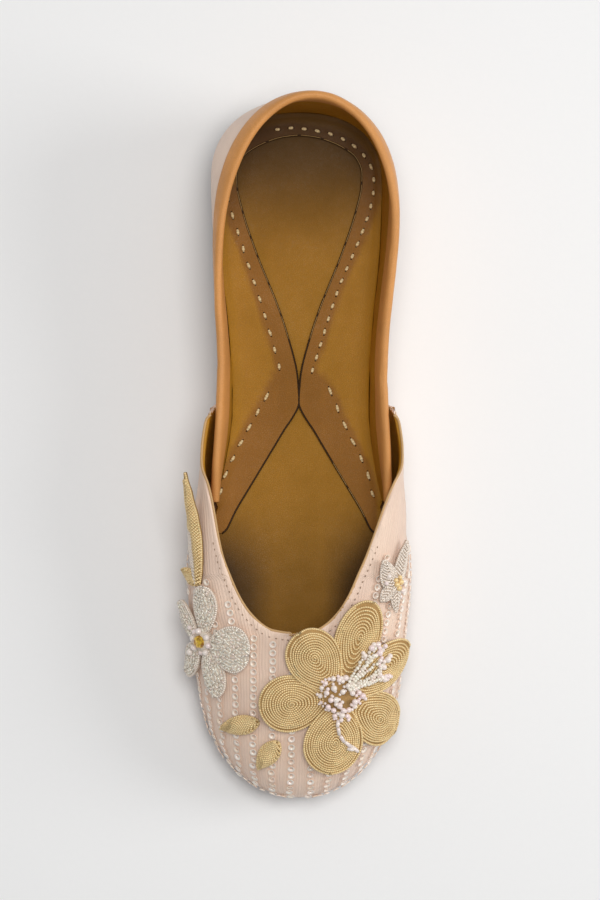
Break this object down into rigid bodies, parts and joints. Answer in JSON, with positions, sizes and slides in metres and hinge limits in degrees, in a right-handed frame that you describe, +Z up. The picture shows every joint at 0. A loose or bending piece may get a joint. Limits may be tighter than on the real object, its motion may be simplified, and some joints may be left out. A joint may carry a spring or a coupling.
{
  "type": "mojari shoe",
  "caption": "Left embroidered mojari: a flat slip-on leather shoe in champagne fabric with a tan bound collar, gold and silver flower motifs and a pearl cluster.",
  "frame": {"origin": "centre of the shoe's plan box, on the floor", "axes": "-Y towards the toe, +Y towards the heel, +X towards the outer (lateral) side of this left shoe, +Z up"},
  "size_m": [0.084, 0.253, 0.0606],
  "materials": {
    "champagne_fabric": "matte woven silk blend",
    "tan_binding_leather": "semi-matte vegetable tanned",
    "brown_lining_leather": "semi-matte smooth",
    "sole_leather": "matte, burnished edge",
    "heel_rubber": "matte",
    "gold_dabka": "metallic coiled cord, satin",
    "silver_bead": "metallic coiled cord and glass bugle beads",
    "pearl": "pearlised glass, glossy",
    "amber_stone": "cut glass, glossy"
  },
  "bodies": {
    "root": {"outsole": "sole_leather", "heel_lift": "heel_rubber", "insole": "brown_lining_leather", "quarter": "champagne_fabric", "vamp": "champagne_fabric", "collar_binding": "tan_binding_leather", "lining_flap": "brown_lining_leather", "gold_flower": "gold_dabka", "pearl_cluster": "pearl", "silver_flower": "silver_bead", "amber_stone": "amber_stone", "medial_leaves": "gold_dabka", "lateral_leaves": "silver_bead", "toe_leaf_medial": "gold_dabka", "toe_leaf_front": "gold_dabka"}
  },
  "joints": []
}
